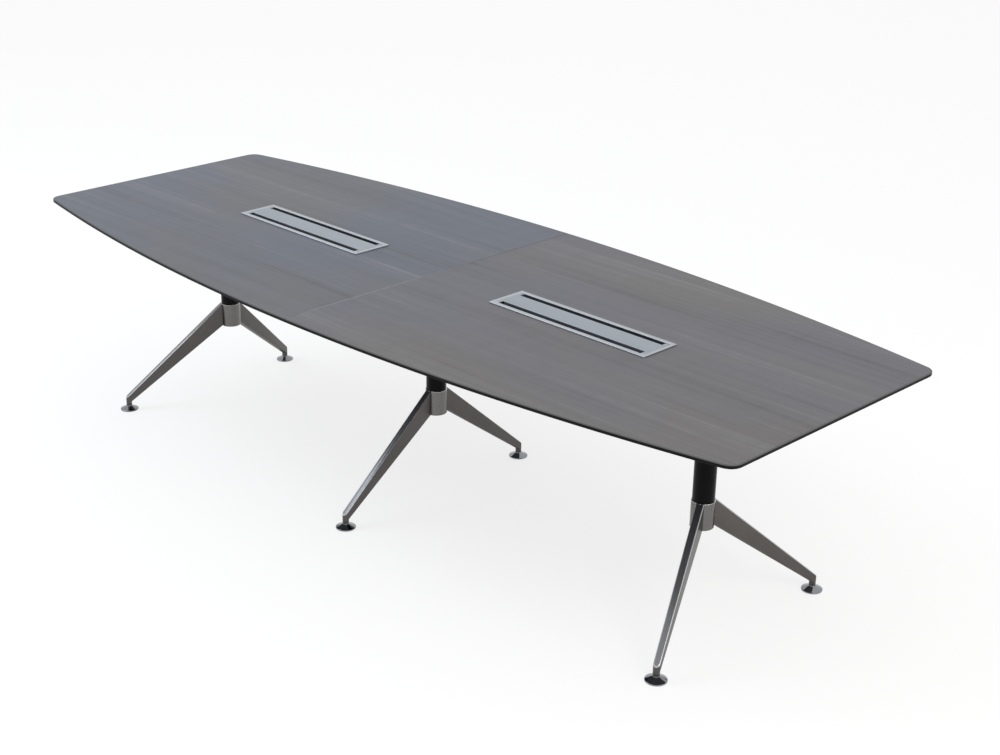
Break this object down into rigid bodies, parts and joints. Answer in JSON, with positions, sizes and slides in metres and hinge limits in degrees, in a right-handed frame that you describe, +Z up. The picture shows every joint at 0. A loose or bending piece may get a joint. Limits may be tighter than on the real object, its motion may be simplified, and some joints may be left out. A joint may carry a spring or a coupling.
{
  "type": "conference table",
  "caption": "Boat-shaped conference table with a seamed wood-grain top, flip-lid cable boxes, black columns and tapered aluminium arms on screw-in chrome feet.",
  "frame": {"origin": "on the floor, under the middle of the top where its two panels meet", "axes": "+X along the table, +Y across it towards the side where the lids hinge, +Z up"},
  "size_m": [3, 1.2, 0.7533],
  "materials": {
    "grey_wood": "matt grey wood-grain laminate, fine straight grain along the table",
    "dark_edge": "dark grey satin edge band",
    "brushed_aluminium": "fine brushed, anodised",
    "satin_aluminium": "satin polished casting",
    "chrome": "mirror chrome",
    "black_steel": "black satin powder coat",
    "zinc_steel": "bright zinc plate",
    "black_plastic": "matt moulded",
    "black_bristle": "matt nylon bristle"
  },
  "bodies": {
    "table": {"top_panel_left": "grey_wood", "edge_band_left": "dark_edge", "stiffening_rail_left_front": "black_steel", "stiffening_rail_left_back": "black_steel", "top_panel_right": "grey_wood", "edge_band_right": "dark_edge", "stiffening_rail_right_front": "black_steel", "stiffening_rail_right_back": "black_steel", "joining_plate_front": "zinc_steel", "joining_plate_back": "zinc_steel", "box_frame_left": "brushed_aluminium", "cable_tray_left": "black_steel", "hinge_pin_left_inner": "zinc_steel", "hinge_pin_left_outer": "zinc_steel", "box_frame_right": "brushed_aluminium", "cable_tray_right": "black_steel", "hinge_pin_right_inner": "zinc_steel", "hinge_pin_right_outer": "zinc_steel", "head_plate_left": "black_steel", "column_left": "black_steel", "collar_left": "satin_aluminium", "column_cap_left": "black_plastic", "arm_left_front": "satin_aluminium", "arm_left_back": "satin_aluminium", "head_plate_middle": "black_steel", "column_middle": "black_steel", "collar_middle": "satin_aluminium", "column_cap_middle": "black_plastic", "arm_middle_front": "satin_aluminium", "arm_middle_back": "satin_aluminium", "head_plate_right": "black_steel", "column_right": "black_steel", "collar_right": "satin_aluminium", "column_cap_right": "black_plastic", "arm_right_front": "satin_aluminium", "arm_right_back": "satin_aluminium"},
    "lid_left": {"box_lid_left": "brushed_aluminium", "brush_strip_left_front": "black_bristle", "brush_strip_left_back": "black_bristle"},
    "lid_right": {"box_lid_right": "brushed_aluminium", "brush_strip_right_front": "black_bristle", "brush_strip_right_back": "black_bristle"},
    "foot_left_front": {"foot_bell_left_front": "chrome", "foot_stem_left_front": "zinc_steel", "foot_pad_left_front": "black_plastic"},
    "foot_left_back": {"foot_bell_left_back": "chrome", "foot_stem_left_back": "zinc_steel", "foot_pad_left_back": "black_plastic"},
    "foot_middle_front": {"foot_bell_middle_front": "chrome", "foot_stem_middle_front": "zinc_steel", "foot_pad_middle_front": "black_plastic"},
    "foot_middle_back": {"foot_bell_middle_back": "chrome", "foot_stem_middle_back": "zinc_steel", "foot_pad_middle_back": "black_plastic"},
    "foot_right_front": {"foot_bell_right_front": "chrome", "foot_stem_right_front": "zinc_steel", "foot_pad_right_front": "black_plastic"},
    "foot_right_back": {"foot_bell_right_back": "chrome", "foot_stem_right_back": "zinc_steel", "foot_pad_right_back": "black_plastic"}
  },
  "joints": [
    {"name": "lid_left_flip", "type": "hinge", "parent": "table", "child": "lid_left", "pos_m": [-0.602, 0.0515, 0.7493], "axis": [-1, 0, 0], "range_deg": [0, 95]},
    {"name": "lid_right_flip", "type": "hinge", "parent": "table", "child": "lid_right", "pos_m": [0.602, 0.0515, 0.7493], "axis": [-1, 0, 0], "range_deg": [0, 95]},
    {"name": "foot_left_front_screw", "type": "slide", "parent": "table", "child": "foot_left_front", "axis": [0, 0, -1], "range_m": [0, 0.012]},
    {"name": "foot_left_back_screw", "type": "slide", "parent": "table", "child": "foot_left_back", "axis": [0, 0, -1], "range_m": [0, 0.012]},
    {"name": "foot_middle_front_screw", "type": "slide", "parent": "table", "child": "foot_middle_front", "axis": [0, 0, -1], "range_m": [0, 0.012]},
    {"name": "foot_middle_back_screw", "type": "slide", "parent": "table", "child": "foot_middle_back", "axis": [0, 0, -1], "range_m": [0, 0.012]},
    {"name": "foot_right_front_screw", "type": "slide", "parent": "table", "child": "foot_right_front", "axis": [0, 0, -1], "range_m": [0, 0.012]},
    {"name": "foot_right_back_screw", "type": "slide", "parent": "table", "child": "foot_right_back", "axis": [0, 0, -1], "range_m": [0, 0.012]}
  ]
}
